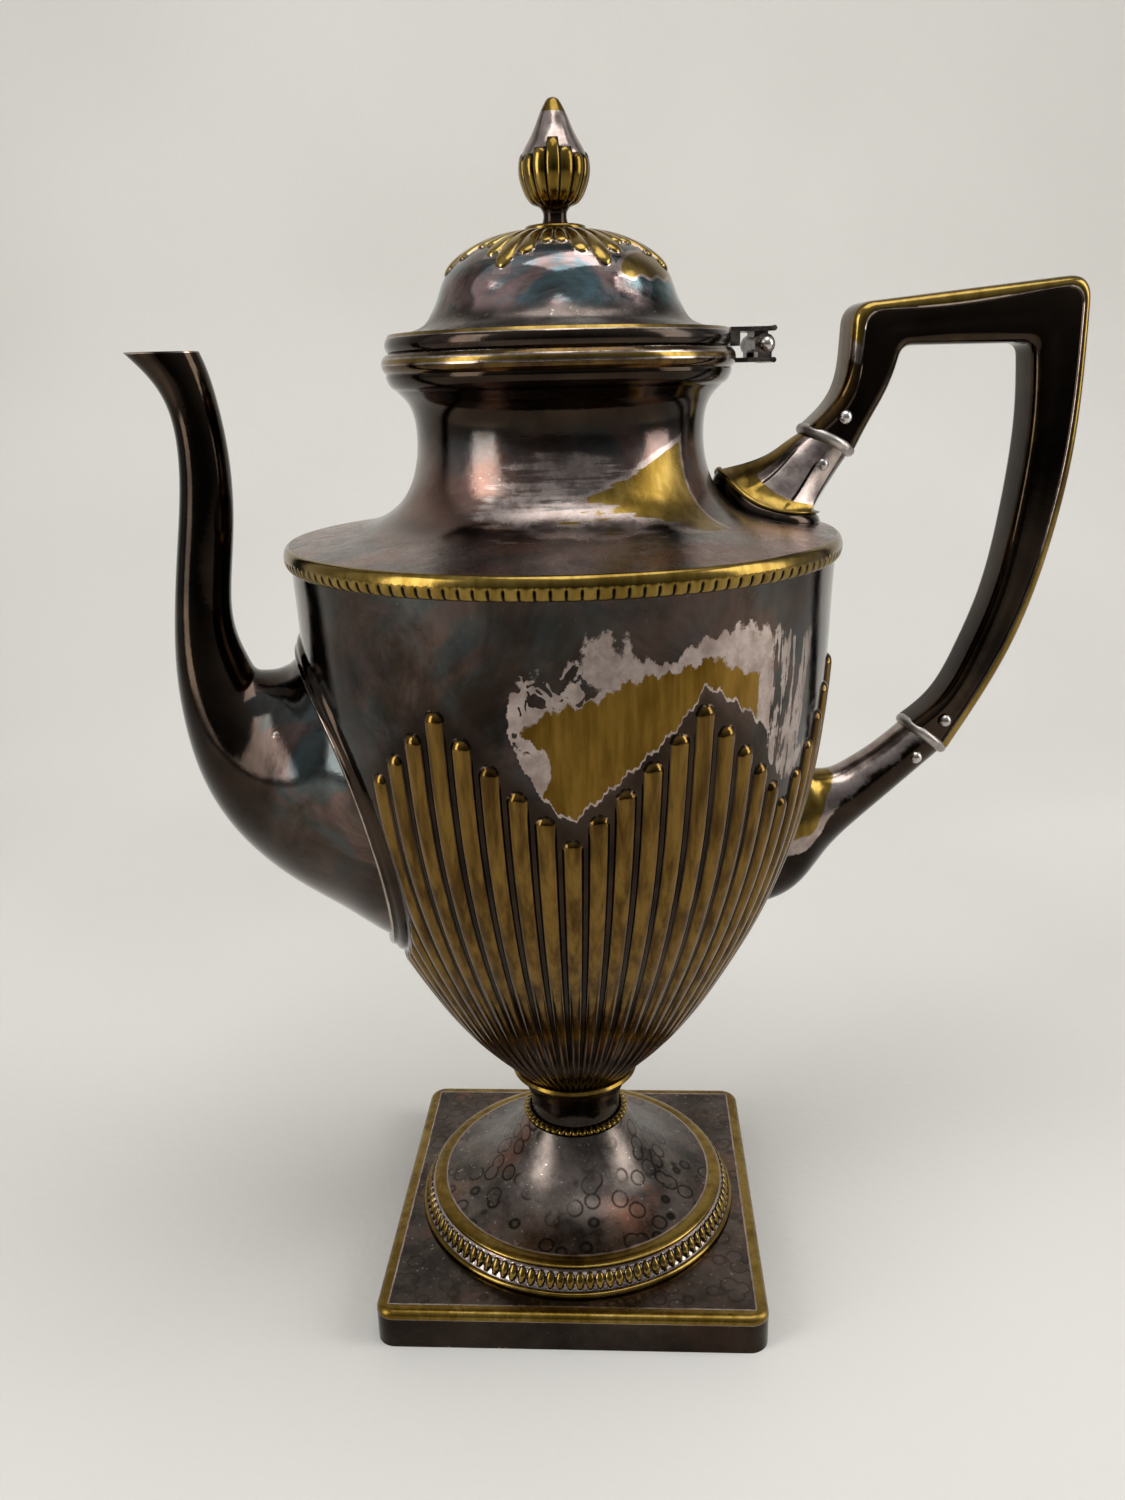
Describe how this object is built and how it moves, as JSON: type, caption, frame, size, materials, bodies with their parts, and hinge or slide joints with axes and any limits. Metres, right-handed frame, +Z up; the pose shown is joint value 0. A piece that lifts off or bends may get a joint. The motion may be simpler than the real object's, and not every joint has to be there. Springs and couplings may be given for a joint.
{
  "type": "coffee pot",
  "caption": "Tall footed coffee pot of tarnished silver plate on brass, with a swan-neck spout, an angular handle on insulators, a fluted urn body and a hinged domed lid with a bud finial.",
  "frame": {"origin": "centre of the square foot's underside", "axes": "+Z up along the pot's axis, +X towards the handle, -X towards the spout, the lid's hinge pin along Y"},
  "size_m": [0.2256, 0.1328, 0.2939],
  "materials": {
    "tarnished_silver_plate": "gloss silver plate, heavily tarnished to brown-black, worn to brass in patches",
    "worn_brass": "brass showing through worn plate",
    "insulator_fibre": "greyed hard fibre, polished",
    "nickel_pin": "dull nickel"
  },
  "bodies": {
    "pot": {"foot_dome": "tarnished_silver_plate", "stem": "tarnished_silver_plate", "body_shell": "tarnished_silver_plate", "shoulder_neck": "tarnished_silver_plate", "spout": "tarnished_silver_plate", "spout_frame": "tarnished_silver_plate", "upper_socket_base": "tarnished_silver_plate", "upper_socket": "tarnished_silver_plate", "lower_socket": "tarnished_silver_plate", "handle": "tarnished_silver_plate", "hinge_pin": "tarnished_silver_plate", "body_hinge_leaf": "tarnished_silver_plate", "plinth": "worn_brass", "foot_bead_ring": "worn_brass", "stem_bead_ring": "worn_brass", "body_cup": "worn_brass", "shoulder_band": "worn_brass", "mouth_rim": "worn_brass", "upper_insulator": "insulator_fibre", "lower_insulator": "insulator_fibre", "upper_pins": "nickel_pin", "lower_pins": "nickel_pin"},
    "lid": {"lid_flange": "tarnished_silver_plate", "lid_bezel": "tarnished_silver_plate", "lid_dome": "tarnished_silver_plate", "finial_collar": "worn_brass", "finial_bud": "tarnished_silver_plate", "finial_screw": "worn_brass", "finial_nut": "worn_brass", "lid_hinge_leaf": "tarnished_silver_plate"}
  },
  "joints": [
    {"name": "lid_hinge", "type": "hinge", "parent": "pot", "child": "lid", "pos_m": [0.0475, 0, 0.2413], "axis": [0, 1, 0], "range_deg": [0, 100]}
  ]
}
